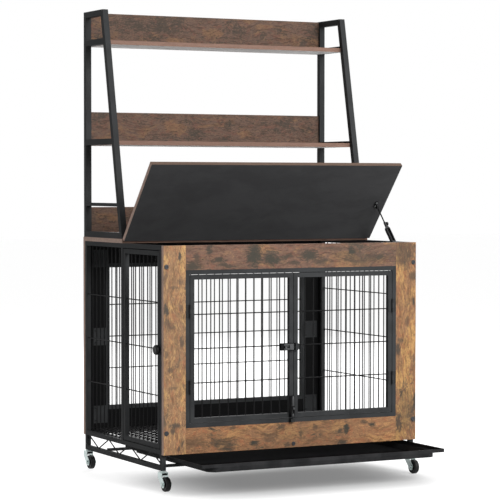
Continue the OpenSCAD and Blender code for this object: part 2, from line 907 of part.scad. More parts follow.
module caster_wheel_rear_right() {
    caster_wheel(caster_x, caster_y1);
}

// Threaded stems with a flange below the fork and a hexagon nut above it
module caster_stems() {
    color([0.75, 0.8, 0.82]) place()
        both_x()
            for (y = [caster_y0, caster_y1]) {
                rod_z(caster_x, y, fork_z - part_gap - 2, low_rail_z, stem_r);
                rod_z(caster_x, y, fork_z - part_gap - 2, fork_z - part_gap, stem_r + 3);
                translate([caster_x, y, fork_top_z + part_gap])
                    cylinder(h = low_rail_z - fork_top_z - part_gap, r = 9, $fn = 6);
            }
}

// Dust rings round the stems, between the two bridges of a fork
module caster_caps() {
    z0 = fork_z + fork_t + 0.5 + part_gap;
    z1 = fork_top_z - fork_t - 0.5 - part_gap;
    color([0.08, 0.08, 0.09]) place()
        both_x()
            for (y = [caster_y0, caster_y1])
                difference() {
                    rod_z(caster_x, y, z0, z1, ring_r);
                    rod_z(caster_x, y, fork_z, fork_top_z, stem_r);
                }
}

// ---------- top boards and lid ----------

module rear_top_board() {
    color([0.52, 0.44, 0.37]) place()
        box(-hw, hw, lid_y + lid_seam / 2, crate_d, top_z, top_z + board_t);
}

// Turns what is drawn closed into the open rest pose
module lid_pose() {
    translate([0, lid_y, lid_axis_z])
        rotate([-lid_open, 0, 0])
            translate([0, -lid_y, -lid_axis_z])
                children();
}

module lid() {
    y1 = lid_y - lid_seam / 2;
    color([0.52, 0.44, 0.37]) place()
        lid_pose()
            box(-hw, hw, y1 - lid_l, y1, lid_z - board_t, lid_z);
}

module lid_hinge_fixed_halves() {
    h = lid_hinge_l / 2;
    mid = lid_hinge_l / 6;
    y0 = lid_y + lid_knuckle_r + 0.5;
    z0 = top_z + board_t;
    color([0.75, 0.78, 0.8]) place()
        both_x()
            translate([lid_hinge_x, 0, 0]) {
                box(-h, h, y0, y0 + lid_leaf_w, z0, z0 + leaf_t);
                for (s = [-1, 1]) {
                    x0 = (s < 0) ? -h : mid + part_gap;
                    x1 = (s < 0) ? -mid - part_gap : h;
                    box(x0, x1, lid_y, y0, z0 + 0.2, z0 + leaf_t);
                    rod_x(x0, x1, lid_y, lid_axis_z, lid_knuckle_r);
                }
                rod_x(-h, h, lid_y, lid_axis_z, lid_pin_r);
            }
}

module lid_hinge_moving_halves() {
    h = lid_hinge_l / 2;
    mid = lid_hinge_l / 6;
    y1 = lid_y - lid_knuckle_r - 0.5;
    color([0.75, 0.78, 0.8]) place()
        lid_pose()
            both_x()
                translate([lid_hinge_x, 0, 0])
                    difference() {
                        union() {
                            box(-h, h, y1 - lid_leaf_w, y1, lid_z, lid_z + leaf_t);
                            box(-mid, mid, y1, lid_y, lid_z + 0.2, lid_z + leaf_t);
                            rod_x(-mid, mid, lid_y, lid_axis_z, lid_knuckle_r);
                        }
                        rod_x(-mid - 1, mid + 1, lid_y, lid_axis_z, lid_pin_r + run_gap);
                    }
}

// ---------- lid stay ----------

// Angle bracket under the lid, with an ear that carries the stay pin
module stay_bracket() {
    y = lid_y - stay_along;
    zu = lid_z - board_t;
    zp = zu - stay_drop;
    x0 = stay_x - rod_r - part_gap - 2;
    color([0.16, 0.165, 0.17]) place()
        lid_pose() {
            box(stay_x - screw_in - 6, x0 + 2, y - 22, y + 7, zu - 2, zu);
            box(x0, x0 + 2, y - 6, y + 6, zp, zu - 2);
            rod_x(x0, x0 + 2, y, zp, 6);
            rod_x(x0, stay_x + rod_r + 2, y, zp, 2);
            rod_x(stay_x + rod_r + part_gap, stay_x + rod_r + 2, y, zp, 4);
        }
}

// Local frame of the stay: origin at its pivot, +z down the rod
module stay_pose() {
    translate([stay_x, pivot_y, pivot_z])
        rotate([180 - stay_lean, 0, 0])
            children();
}

module stay_rod() {
    color([0.12, 0.12, 0.125]) place()
        stay_pose()
            difference() {
                union() {
                    rod_x(-rod_r, rod_r, 0, 0, 5);
                    rod_z(0, 0, 3, rod_l, rod_r);
                }
                rod_x(-7, 7, 0, 0, 2 + run_gap);
            }
}

// Channel-shaped handle that slides on the rod, with a collar above and a notched foot
module stay_sleeve() {
    z0 = stay_l - sleeve_l;
    w = sleeve_w / 2;
    d = sleeve_d / 2;
    color([0.08, 0.08, 0.09]) place()
        stay_pose()
            difference() {
                union() {
                    translate([0, d, 0])
                        rotate([90, 0, 0])
                            linear_extrude(height = sleeve_d)
                                polygon([[-w + 4, z0], [w - 4, z0], [w, z0 + 8], [w, stay_l - 5],
                                         [w - 4, stay_l], [-w + 4, stay_l], [-w, stay_l - 5], [-w, z0 + 8]]);
                    rod_z(0, 0, z0 - collar_l, z0, collar_r);
                }
                box(-w + sleeve_t, w - sleeve_t, sleeve_t - d, d + 1, z0 + 9, stay_l - 10);
                rod_z(0, 0, z0 - collar_l - 1, z0 + 10, rod_r + run_gap);
                rod_x(-w - 1, w + 1, 0, stay_l + 1, catch_r + 0.4);
                rod_x(0, w + 1, 0, clamp_a, 1.5 + run_gap);
            }
}

module stay_thumbscrew() {
    color([0.08, 0.08, 0.09]) place()
        stay_pose()
            translate([0, 0, clamp_a]) {
                rod_x(rod_r + part_gap, collar_r + 1, 0, 0, 1.5);
                rod_x(collar_r + part_gap, collar_r + part_gap + 5, 0, 0, clamp_knob_r);
            }
}

// Pin on the side frame that the foot of the stay is hooked over
module stay_catch() {
    z = top_z - tube / 2;
    x0 = stay_x - sleeve_w / 2 - 3;
    color([0.35, 0.36, 0.37]) place() {
        rod_x(x0, hw - tube - 2, catch_y, z, catch_r);
        rod_x(x0 - 2, x0, catch_y, z, catch_r + 2);
        rod_x(hw - tube - 2, hw - tube, catch_y, z, catch_r + 3);
    }
}

// ---------- hutch ----------

// Front face of the leaning post at a height above the crate top
function lean_y(z) = hutch_foot_y + hutch_lean * z / hutch_h;

module hutch_side() {
    t = hutch_tube;
    w = t * 1.02;
    yb = hy1 - t;
    bays = [[t, thin_rail_z], [thin_rail_z + thin_rail_h, mid_rail_z],
            [mid_rail_z + t, top_rail_z], [top_rail_z + t, hutch_h - t]];
    translate([hx0, 0, hz])
        rotate([90, 0, 90])
            difference() {
                linear_extrude(height = t)
                    polygon([[hutch_foot_y, 0], [hy1, 0], [hy1, hutch_h], [lean_y(hutch_h), hutch_h]]);
                for (b = bays)
                    translate([0, 0, -1])
                        linear_extrude(height = t + 2)
                            polygon([[lean_y(b[0]) + w, b[0]], [yb, b[0]],
                                     [yb, b[1]], [lean_y(b[1]) + w, b[1]]]);
            }
}

module hutch_side_frames() {
    color([0.26, 0.27, 0.28]) place()
        both_x()
            hutch_side();
}

module hutch_shelf(z) {
    box(-hx0, hx0, lean_y(z) + shelf_in, shelf_y1 - board_t, hz + z - board_t, hz + z);
}

module hutch_shelves() {
    color([0.52, 0.44, 0.37]) place() {
        hutch_shelf(mid_rail_z + 13);
        hutch_shelf(top_rail_z + 14);
    }
}

// Upright boards behind the shelves and on the crate top
module hutch_back_boards() {
    color([0.52, 0.44, 0.37]) place()
        for (z = [0, mid_rail_z + 13, top_rail_z + 14]) {
            foot = (z > 0) ? board_t : 0;
            box(-hx0, hx0, shelf_y1 - board_t, shelf_y1, hz + z - foot, hz + z + back_board_h);
        }
}

// ---------- drawing ----------

left_side_frame();
left_side_wires();
left_side_brace();
right_side_frame();
right_side_wires();
right_side_brace();
front_left_stile();
front_right_stile();
front_top_rail();
front_bottom_rail();
back_left_stile();
back_right_stile();
back_top_rail();
back_bottom_rail();
front_door_frame();
back_mesh_frame();
back_mesh_wires();
joining_plates();
screw_caps();
floor_grid();
tray_bars();
caster_stems();
caster_caps();
caster_fork_front_left();
caster_fork_front_right();
caster_fork_rear_left();
caster_fork_rear_right();
caster_wheel_front_left();
caster_wheel_front_right();
caster_wheel_rear_left();
caster_wheel_rear_right();
front_hinge_fixed_halves();
side_door_pins();
bolt_keeper();
left_front_door();
left_front_door_wires();
bolt_guides();
latch_bolt();
drop_bolt();
right_front_door();
right_front_door_wires();
latch_keeper();
side_door();
side_door_wires();
side_shaft();
side_tongue();
side_knob();
tray();
rear_top_board();
lid();
lid_hinge_fixed_halves();
lid_hinge_moving_halves();
stay_bracket();
stay_rod();
stay_sleeve();
stay_thumbscrew();
stay_catch();
hutch_side_frames();
hutch_shelves();
hutch_back_boards();
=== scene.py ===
# Looks of the crate: materials, small pieces, floor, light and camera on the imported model.
# The paired doors face -Y, +X is on the right of someone facing them, and the floor is at z = 0.
import json
import math

import bmesh
import bpy
from mathutils import Euler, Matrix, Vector


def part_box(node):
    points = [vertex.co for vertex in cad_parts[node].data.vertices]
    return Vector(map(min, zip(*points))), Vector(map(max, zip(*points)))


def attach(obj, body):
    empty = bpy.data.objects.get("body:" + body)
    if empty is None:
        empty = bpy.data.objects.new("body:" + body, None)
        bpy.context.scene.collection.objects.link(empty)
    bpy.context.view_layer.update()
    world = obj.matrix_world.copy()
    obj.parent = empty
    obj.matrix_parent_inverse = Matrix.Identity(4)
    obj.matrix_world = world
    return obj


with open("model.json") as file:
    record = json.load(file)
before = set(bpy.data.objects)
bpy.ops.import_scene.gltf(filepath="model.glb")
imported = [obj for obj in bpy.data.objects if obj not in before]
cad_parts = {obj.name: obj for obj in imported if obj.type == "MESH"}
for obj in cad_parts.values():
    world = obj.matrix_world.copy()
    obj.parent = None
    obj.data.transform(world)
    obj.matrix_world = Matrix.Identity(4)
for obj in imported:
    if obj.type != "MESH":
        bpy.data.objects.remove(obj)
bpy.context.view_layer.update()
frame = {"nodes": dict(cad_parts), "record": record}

MM = 0.001
UP = Vector((0, 0, 1))
FRONT = Vector((0, -1, 0))
BACK = Vector((0, 1, 0))
LID_OPEN = math.radians(49.0)  # how far open the lid is at rest


# ---------- node helpers ----------

def srgb(r, g, b):
    """A colour from 0 to 255 per channel, as linear RGBA."""
    def linear(c):
        c = c / 255.0
        return c / 12.92 if c <= 0.04045 else ((c + 0.055) / 1.055) ** 2.4
    return (linear(r), linear(g), linear(b), 1.0)


def shade(col, k):
    """A colour made darker or lighter by a factor."""
    return tuple(min(1.0, c * k) for c in col[:3]) + (1.0,)


class Nodes:
    """Short calls that add nodes to a material's or world's tree and return output sockets."""

    def __init__(self, owner):
        owner.use_nodes = True
        self.nt = owner.node_tree
        self.nt.nodes.clear()

    def node(self, kind, **settings):
        made = self.nt.nodes.new("ShaderNode" + kind)
        for name, value in settings.items():
            setattr(made, name, value)
        return made

    def put(self, sock, val):
        """Link an output to an input socket, or set a constant on it."""
        if isinstance(val, bpy.types.NodeSocket):
            self.nt.links.new(val, sock)
        else:
            sock.default_value = val

    def math(self, op, a, b=0.0):
        n = self.node("Math", operation=op)
        self.put(n.inputs[0], a)
        self.put(n.inputs[1], b)
        return n.outputs[0]

    def vec(self, op, a, b):
        n = self.node("VectorMath", operation=op)
        self.put(n.inputs[0], a)
        self.put(n.inputs[1], b)
        return n.outputs[0]

    def length(self, a):
        n = self.node("VectorMath", operation="LENGTH")
        self.put(n.inputs[0], a)
        return n.outputs["Value"]

    def ramp(self, fac, lo, hi, a=0.0, b=1.0):
        """A smooth step from a to b while fac goes from lo to hi."""
        n = self.node("MapRange", interpolation_type="SMOOTHSTEP")
        self.put(n.inputs["Value"], fac)
        n.inputs["From Min"].default_value = lo
        n.inputs["From Max"].default_value = hi
        n.inputs["To Min"].default_value = a
        n.inputs["To Max"].default_value = b
        return n.outputs[0]

    def seen(self):
        """1 for the rays that show the background: camera, glossy and transmission rays."""
        rays = self.node("LightPath").outputs
        direct = self.math("MAXIMUM", rays["Is Camera Ray"], rays["Is Glossy Ray"])
        return self.math("MAXIMUM", direct, rays["Is Transmission Ray"])


class Tree(Nodes):
    """A material with one Principled shader. obj is the place in metres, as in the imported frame."""

    def __init__(self, name):
        self.mat = bpy.data.materials.new(name)
        super().__init__(self.mat)
        self.out = self.node("OutputMaterial")
        self.bsdf = self.node("BsdfPrincipled")
        self.nt.links.new(self.bsdf.outputs[0], self.out.inputs[0])
        self.obj = self.node("TexCoord").outputs["Object"]

    def scaled(self, vec, s=(1, 1, 1), off=(0, 0, 0)):
        n = self.node("Mapping")
        self.put(n.inputs["Vector"], vec)
        n.inputs["Scale"].default_value = s
        n.inputs["Location"].default_value = off
        return n.outputs[0]

    def noise(self, vec, scale, detail, rough=0.55, warp=0.0, output="Fac"):
        n = self.node("TexNoise")
        self.put(n.inputs["Vector"], vec)
        n.inputs["Scale"].default_value = scale
        n.inputs["Detail"].default_value = detail
        n.inputs["Roughness"].default_value = rough
        n.inputs["Distortion"].default_value = warp
        return n.outputs[output]

    def mix(self, fac, a, b):
        """Colour a where fac is 0, b where it is 1."""
        n = self.node("Mix", data_type="RGBA")
        colour_a, colour_b, colour_out = n.inputs[6], n.inputs[7], n.outputs[2]
        self.put(n.inputs[0], fac)
        self.put(colour_a, a)
        self.put(colour_b, b)
        return colour_out

    def height(self):
        """Height above the floor, in metres."""
        n = self.node("SeparateXYZ")
        self.put(n.inputs[0], self.obj)
        return n.outputs["Z"]

    def normal_along(self, axis):
        """How far the true face normal, in object space, points along axis."""
        turn = self.node("VectorTransform", vector_type="NORMAL", convert_from="WORLD",
                         convert_to="OBJECT")
        self.put(turn.inputs[0], self.node("NewGeometry").outputs["True Normal"])
        dot = self.node("VectorMath", operation="DOT_PRODUCT")
        self.put(dot.inputs[0], turn.outputs[0])
        dot.inputs[1].default_value = axis
        return dot.outputs["Value"]

    def surface(self, colour, rough, bumps, strength, depth, gloss=None, metal=None):
        """Set the shader, with bumps of a depth in metres, and return the material."""
        self.put(self.bsdf.inputs["Base Color"], colour)
        self.put(self.bsdf.inputs["Roughness"], rough)
        if gloss is not None:
            self.bsdf.inputs["Specular IOR Level"].default_value = gloss
        if metal is not None:
            self.bsdf.inputs["Metallic"].default_value = metal
        n = self.node("Bump")
        n.inputs["Strength"].default_value = strength
        n.inputs["Distance"].default_value = depth
        self.put(n.inputs["Height"], bumps)
        self.put(self.bsdf.inputs["Normal"], n.outputs[0])
        return self.mat


# ---------- materials ----------
# Noise mostly runs from 0.3 to 0.7, so each ramp picks out the levels between its first two numbers.

def powder(name, col, rough, gloss):
    """Powder coat: a fine orange-peel surface with faint cloudy variation and light flecks."""
    t = Tree(name)
    cloud = t.noise(t.obj, scale=9.0, detail=3.0)
    peel = t.noise(t.obj, scale=900.0, detail=2.0)
    c = t.mix(t.ramp(cloud, 0.35, 0.65), shade(col, 0.84), shade(col, 1.16))
    c = t.mix(t.ramp(peel, 0.62, 0.75, 0.0, 0.3), c, shade(col, 1.5))
    return t.surface(c, t.ramp(cloud, 0.3, 0.7, rough - 0.05, rough + 0.07),
                     peel, strength=0.12, depth=0.4 * MM, gloss=gloss)


def plastic(name, col, rough, gloss):
    """Moulded plastic: a fine leathery surface, slightly cloudy."""
    t = Tree(name)
    pebble = t.noise(t.obj, scale=650.0, detail=3.0)
    cloud = t.noise(t.obj, scale=14.0, detail=3.0)
    c = t.mix(t.ramp(cloud, 0.3, 0.7), shade(col, 0.85), shade(col, 1.15))
    return t.surface(c, t.ramp(cloud, 0.3, 0.7, rough - 0.06, rough + 0.06),
                     pebble, strength=0.1, depth=0.3 * MM, gloss=gloss)


TRAY_INSIDE = (108 * MM, 114 * MM)  # below the first height all is the tray's inside, above the next none


def moulded_tray(name, rim, floor):
    """Moulded tray: a satin rim and a dull floor, as lit and shaded copies of one plastic: the rim is
    painted grey as a painted highlight, and the upward inside floor nearly black as painted shade.
    """
    t = Tree(name)
    pebble = t.noise(t.obj, scale=650.0, detail=3.0)
    cloud = t.noise(t.obj, scale=11.0, detail=4.0)
    # painted shade and highlight: the upward faces of the inside, below TRAY_INSIDE, take the nearly black
    # floor colour, all else the grey rim colour
    low = t.ramp(t.height(), *TRAY_INSIDE, 1.0, 0.0)
    inside = t.math("MULTIPLY", low, t.ramp(t.normal_along(UP), 0.3, 0.9))
    c = t.mix(inside, rim, floor)
    c = t.mix(t.ramp(cloud, 0.35, 0.65, 0.0, 0.5), c, shade(floor, 1.8))
    return t.surface(c, t.ramp(inside, 0.0, 1.0, 0.4, 0.9),
                     pebble, strength=0.1, depth=0.3 * MM, gloss=0.01)


def zinc(name, col):
    """Zinc plate: patches of duller grey, with fine upright scratches."""
    t = Tree(name)
    patch = t.noise(t.obj, scale=60.0, detail=4.0)
    scratch = t.noise(t.scaled(t.obj, (1, 1, 6)), scale=400.0, detail=3.0)
    c = t.mix(t.ramp(patch, 0.35, 0.65), shade(col, 0.86), col)
    return t.surface(c, t.ramp(patch, 0.3, 0.7, 0.26, 0.4),
                     scratch, strength=0.08, depth=0.2 * MM, metal=0.8)


X_GRAIN, Z_GRAIN = 0, 2
GRAIN_WANDER = 0.05  # how far the grain bends sideways, in metres
END_EDGE_HIGHLIGHT = srgb(232, 200, 184)  # painted highlight: paler banding on the faces along x, the ends of boards


def timber(name, grain, seed, gold, mid, dark, edge, stain, glow, face, back=None, back_col=None, knots=()):
    """Rustic printed timber. grain is the axis it runs along. stain is how much of it is dark,
    glow how much is golden. face and back are the outward directions of the printed and the plain
    side. Each knot is x and z, its half widths, all in metres, and how dark it is."""
    t = Tree(name)
    off = (seed * 1.7, seed * 0.9, seed * 2.3)
    across = tuple(0.0 if i == grain else 1.0 for i in range(3))
    # the grain wanders a little, so every layer reads one bent set of coordinates
    bend = t.noise(t.scaled(t.obj, off=off), scale=9.0, detail=2.0, rough=0.5, output="Color")
    centred = t.vec("SUBTRACT", bend, (0.5, 0.5, 0.5))
    where = t.vec("ADD", t.obj, t.vec("MULTIPLY", centred, tuple(GRAIN_WANDER * c for c in across)))

    def layer(narrow, scale, detail, rough, warp=0.0):
        """A noise narrower across the grain than along it by the factor narrow."""
        stretch = tuple(1.0 if i == grain else narrow for i in range(3))
        return t.noise(t.scaled(where, stretch, off), scale, detail, rough, warp)

    def about_zero(value, size):
        return t.math("MULTIPLY", t.math("SUBTRACT", value, 0.5), size)

    tone = layer(2.0, 6.0, 4.0, 0.6, 0.3)
    stains = layer(2.0, 8.0, 6.0, 0.65, 0.3)
    cloud = layer(2.0, 34.0, 5.0, 0.7, 0.4)
    streak = layer(9.0, 12.0, 7.0, 0.75, 0.2)
    line = layer(7.0, 17.0, 6.0, 0.7, 0.2)
    flake = layer(3.5, 48.0, 5.0, 0.75, 0.4)
    speck = layer(1.8, 110.0, 4.0, 0.7)
    fibre = layer(6.0, 55.0, 5.0, 0.8)
    pore = layer(2.6, 330.0, 2.0, 0.6)

    # ground colours, from broad patches down to flakes
    red = (mid[0] * 1.16, mid[1] * 0.84, mid[2] * 0.80, 1.0)
    c = t.mix(t.ramp(tone, 0.62 - 0.2 * glow, 0.70 - 0.2 * glow), mid, gold)
    c = t.mix(t.ramp(cloud, 0.50, 0.62, 0.0, 0.75), c, red)
    c = t.mix(t.ramp(streak, 0.40, 0.52, 0.75, 0.0), c, shade(mid, 0.5))
    c = t.mix(t.ramp(line, 0.54, 0.63, 0.0, 0.35 + 0.4 * glow), c, shade(gold, 1.15))
    c = t.mix(t.ramp(flake, 0.58, 0.68, 0.0, 0.3 + 0.5 * glow), c, shade(gold, 1.35))
    # grey-green stains, streaky and dotted at their edges
    ragged = t.math("ADD", t.math("ADD", stains, about_zero(speck, 0.6)), about_zero(line, 0.8))
    c = t.mix(t.ramp(ragged, 0.65 - 0.2 * stain, 0.80 - 0.2 * stain, 0.0, 0.85), c, dark)
    # dark and light fibres
    c = t.mix(t.ramp(fibre, 0.50, 0.62, 0.0, 0.5), c, shade(mid, 0.45))
    c = t.mix(t.ramp(fibre, 0.36, 0.46, 0.45, 0.0), c, shade(gold, 1.2))
    # smudges and knots: dark ovals torn up along the grain
    torn = t.math("ADD", about_zero(flake, 2.6), about_zero(speck, 2.2))
    mask = None
    for x, z, half_x, half_z, depth in knots:
        from_middle = t.vec("SUBTRACT", where, (x, 0, z))
        radii = t.length(t.vec("MULTIPLY", from_middle, (1 / half_x, 0.0, 1 / half_z)))
        knot = t.ramp(t.math("ADD", radii, torn), 0.45, 1.4, depth, 0.0)
        mask = knot if mask is None else t.math("MAXIMUM", mask, knot)
    if mask is not None:
        c = t.mix(mask, c, shade(dark, 0.8))
    c = t.mix(t.ramp(speck, 0.55, 0.68, 0.0, 0.5), c, shade(dark, 0.6))
    c = t.mix(t.ramp(pore, 0.58, 0.70, 0.0, 0.4), c, shade(dark, 0.55))

    # edge banding on all faces but the broad ones; on the ends, the faces along x, it is painted paler as a
    # painted highlight
    band = t.mix(t.ramp(streak, 0.40, 0.6), shade(edge, 0.85), edge)
    band = t.mix(t.ramp(speck, 0.5, 0.7, 0.0, 0.4), band, shade(edge, 0.65))
    end_highlight = t.mix(t.ramp(line, 0.4, 0.6), shade(END_EDGE_HIGHLIGHT, 0.85), END_EDGE_HIGHLIGHT)
    is_broad = t.math("ABSOLUTE", t.normal_along(face))
    is_end = t.math("ABSOLUTE", t.normal_along((1, 0, 0)))
    band = t.mix(t.ramp(is_end, 0.6, 0.8), band, end_highlight)
    c = t.mix(t.ramp(is_broad, 0.6, 0.8), band, c)
    if back_col is not None:
        plain = t.mix(t.ramp(tone, 0.35, 0.65), shade(back_col, 0.9), shade(back_col, 1.1))
        plain = t.mix(t.ramp(pore, 0.6, 0.7, 0.0, 0.5), plain, shade(back_col, 1.35))
        c = t.mix(t.ramp(t.normal_along(back), 0.6, 0.8), c, plain)
    return t.surface(c, t.ramp(streak, 0.3, 0.7, 0.5, 0.66),
                     streak, strength=0.12, depth=0.6 * MM, gloss=0.08)


def give(mat, *nodes):
    """Put a material on CAD nodes, in their objects' own slots."""
    for node in nodes:
        o = frame["nodes"][node]
        if not o.material_slots:
            o.data.materials.append(mat)
        for slot in o.material_slots:
            slot.link = "OBJECT"
            slot.material = mat


steel = powder("powder_coat", srgb(60, 61, 62), rough=0.6, gloss=0.06)
wire = powder("powder_coat_wire", srgb(23, 23, 24), rough=0.6, gloss=0.1)
fittings = powder("painted_fittings", srgb(42, 43, 44), rough=0.5, gloss=0.15)
bright_fittings = powder("painted_bolts", srgb(70, 71, 72), rough=0.42, gloss=0.3)
# painted shade: the bolt guides are near black, standing in for the shade beside the bolts
guide = powder("guides_painted_shade", srgb(20, 20, 21), rough=0.6, gloss=0.08)
handle = plastic("stay_handle_plastic", srgb(58, 58, 59), rough=0.4, gloss=0.4)
cap_grey = plastic("cap_plastic", srgb(44, 45, 49), rough=0.35, gloss=0.4)
black = plastic("black_moulding", srgb(18, 18, 19), rough=0.45, gloss=0.15)
# rim and floor colours are lit and shaded copies of one plastic: a painted highlight on the rim, painted
# shade on the floor
pan = moulded_tray("tray_plastic", rim=srgb(58, 58, 59), floor=srgb(8, 8, 9))
tyre = plastic("wheel_plastic", srgb(20, 20, 21), rough=0.5, gloss=0.2)
plated = zinc("zinc_plate", srgb(205, 218, 216))
dull_zinc = zinc("dull_zinc", srgb(128, 130, 130))

LAMINATE = srgb(9, 9, 10)
STAIN = srgb(84, 80, 72)
EDGING = srgb(196, 172, 160)
LID_TOP = Vector((0, math.sin(LID_OPEN), math.cos(LID_OPEN)))  # outward from the lid's printed side

# Knots and smudges, given one by one: x, z, half width, half height, darkness.
TOP_RAIL_KNOTS = (
    (-0.385, 0.762, 0.030, 0.016, 0.9), (-0.372, 0.792, 0.012, 0.020, 0.7),
    (-0.325, 0.816, 0.012, 0.018, 0.9), (-0.290, 0.778, 0.034, 0.009, 0.9),
    (-0.255, 0.762, 0.040, 0.008, 0.8), (-0.152, 0.790, 0.030, 0.045, 1.0),
    (-0.085, 0.783, 0.036, 0.022, 1.0), (-0.020, 0.795, 0.030, 0.010, 0.8),
    (0.005, 0.764, 0.030, 0.008, 0.7), (0.062, 0.790, 0.042, 0.024, 0.95),
    (0.115, 0.768, 0.040, 0.012, 0.7), (0.236, 0.808, 0.017, 0.018, 1.0),
    (0.262, 0.776, 0.070, 0.011, 0.7), (0.352, 0.782, 0.024, 0.012, 0.9),
    (0.290, 0.785, 0.120, 0.030, 0.55), (0.160, 0.815, 0.060, 0.012, 0.5),
    (0.415, 0.795, 0.036, 0.050, 0.3))
LOW_RAIL_KNOTS = (
    (-0.317, 0.203, 0.013, 0.007, 1.0), (-0.235, 0.201, 0.013, 0.007, 0.7),
    (-0.380, 0.157, 0.050, 0.020, 0.5), (-0.265, 0.150, 0.045, 0.018, 0.7),
    (-0.260, 0.132, 0.034, 0.007, 0.8), (-0.151, 0.148, 0.019, 0.012, 1.0),
    (-0.090, 0.166, 0.028, 0.018, 0.6), (-0.045, 0.196, 0.020, 0.013, 0.8),
    (-0.022, 0.135, 0.013, 0.009, 0.8), (0.033, 0.168, 0.010, 0.015, 0.8),
    (0.088, 0.180, 0.011, 0.015, 0.7), (0.190, 0.170, 0.011, 0.010, 0.8),
    (0.216, 0.178, 0.013, 0.019, 1.0), (0.196, 0.132, 0.019, 0.009, 0.8),
    (0.288, 0.198, 0.017, 0.009, 0.7), (0.321, 0.190, 0.014, 0.008, 1.0),
    (0.030, 0.165, 0.200, 0.080, 0.3))
LEFT_STILE_KNOTS = (
    (-0.433, 0.796, 0.007, 0.018, 1.0), (-0.489, 0.720, 0.010, 0.030, 0.6),
    (-0.431, 0.707, 0.014, 0.012, 0.6), (-0.480, 0.615, 0.014, 0.022, 1.0),
    (-0.476, 0.568, 0.022, 0.024, 0.7), (-0.424, 0.622, 0.007, 0.015, 0.5),
    (-0.430, 0.505, 0.010, 0.024, 0.8), (-0.452, 0.690, 0.024, 0.006, 0.6),
    (-0.493, 0.465, 0.007, 0.020, 0.6), (-0.468, 0.412, 0.013, 0.009, 0.7),
    (-0.457, 0.349, 0.012, 0.006, 0.6), (-0.425, 0.355, 0.005, 0.010, 0.6),
    (-0.493, 0.240, 0.007, 0.019, 0.8), (-0.450, 0.222, 0.024, 0.010, 0.9),
    (-0.463, 0.203, 0.011, 0.010, 0.8), (-0.422, 0.159, 0.007, 0.015, 0.8),
    (-0.434, 0.141, 0.009, 0.010, 0.8), (-0.457, 0.680, 0.090, 0.400, 0.2))
RIGHT_STILE_KNOTS = (
    (0.491, 0.618, 0.006, 0.017, 1.0), (0.478, 0.792, 0.014, 0.024, 0.8),
    (0.461, 0.757, 0.008, 0.028, 0.7), (0.490, 0.711, 0.016, 0.016, 0.7),
    (0.476, 0.550, 0.010, 0.018, 0.6), (0.446, 0.482, 0.012, 0.010, 0.7),
    (0.438, 0.452, 0.013, 0.024, 0.9), (0.443, 0.293, 0.007, 0.014, 0.9),
    (0.496, 0.257, 0.012, 0.042, 1.0), (0.493, 0.197, 0.014, 0.012, 1.0),
    (0.476, 0.210, 0.018, 0.012, 0.8), (0.440, 0.190, 0.015, 0.036, 0.9),
    (0.468, 0.230, 0.034, 0.080, 0.5), (0.456, 0.800, 0.050, 0.060, 0.7))

front_board = dict(edge=EDGING, face=FRONT, back=BACK, back_col=LAMINATE)
rear_board = dict(edge=EDGING, face=BACK, back=FRONT, back_col=LAMINATE)
# painted shade: the top boards, shelves and lid take a darker, browner copy of the front boards' print
top_board = dict(gold=srgb(122, 88, 64), mid=srgb(96, 74, 60), dark=srgb(60, 56, 50), stain=0.65, glow=0.4)

give(timber("board_top_rail", X_GRAIN, 1.0, srgb(160, 124, 92), srgb(132, 104, 90), STAIN,
            stain=0.45, glow=0.35, knots=TOP_RAIL_KNOTS, **front_board), "front_top_rail")
give(timber("board_low_rail", X_GRAIN, 4.2, srgb(200, 152, 104), srgb(170, 127, 94), STAIN,
            stain=0.35, glow=0.5, knots=LOW_RAIL_KNOTS, **front_board), "front_bottom_rail")
give(timber("board_stile_left", Z_GRAIN, 2.0, srgb(224, 178, 120), srgb(180, 140, 106), srgb(104, 95, 86),
            stain=0.2, glow=0.6, knots=LEFT_STILE_KNOTS, **front_board), "front_left_stile")
give(timber("board_stile_right", Z_GRAIN, 3.4, srgb(200, 156, 102), srgb(158, 120, 90), srgb(90, 82, 74),
            stain=0.3, glow=0.55, knots=RIGHT_STILE_KNOTS, **front_board), "front_right_stile")
give(timber("board_rear_rail", X_GRAIN, 5.0, srgb(168, 124, 86), srgb(132, 98, 74), STAIN,
            stain=0.7, glow=0.4, **rear_board), "back_top_rail", "back_bottom_rail")
give(timber("board_rear_stile", Z_GRAIN, 6.0, srgb(182, 136, 92), srgb(146, 108, 80), STAIN,
            stain=0.45, glow=0.6, **rear_board), "back_left_stile", "back_right_stile")
# painted shade: the upstand is printed darker and browner than the front boards
give(timber("board_upstand", X_GRAIN, 7.0, srgb(139, 108, 84), srgb(116, 95, 84), srgb(76, 71, 65),
            srgb(140, 116, 102), stain=0.7, glow=0.4, face=FRONT), "hutch_back_boards")
give(timber("board_shelf", X_GRAIN, 8.0, edge=srgb(150, 120, 106), face=UP, back=-UP,
            back_col=srgb(246, 245, 244), **top_board), "hutch_shelves")
give(timber("board_top", X_GRAIN, 9.0, edge=srgb(150, 120, 106), face=UP, back=-UP,
            back_col=LAMINATE, **top_board), "rear_top_board")
give(timber("board_lid", X_GRAIN, 11.0, edge=srgb(118, 98, 86), face=LID_TOP, back=-LID_TOP,
            back_col=srgb(62, 62, 63), **top_board), "lid")

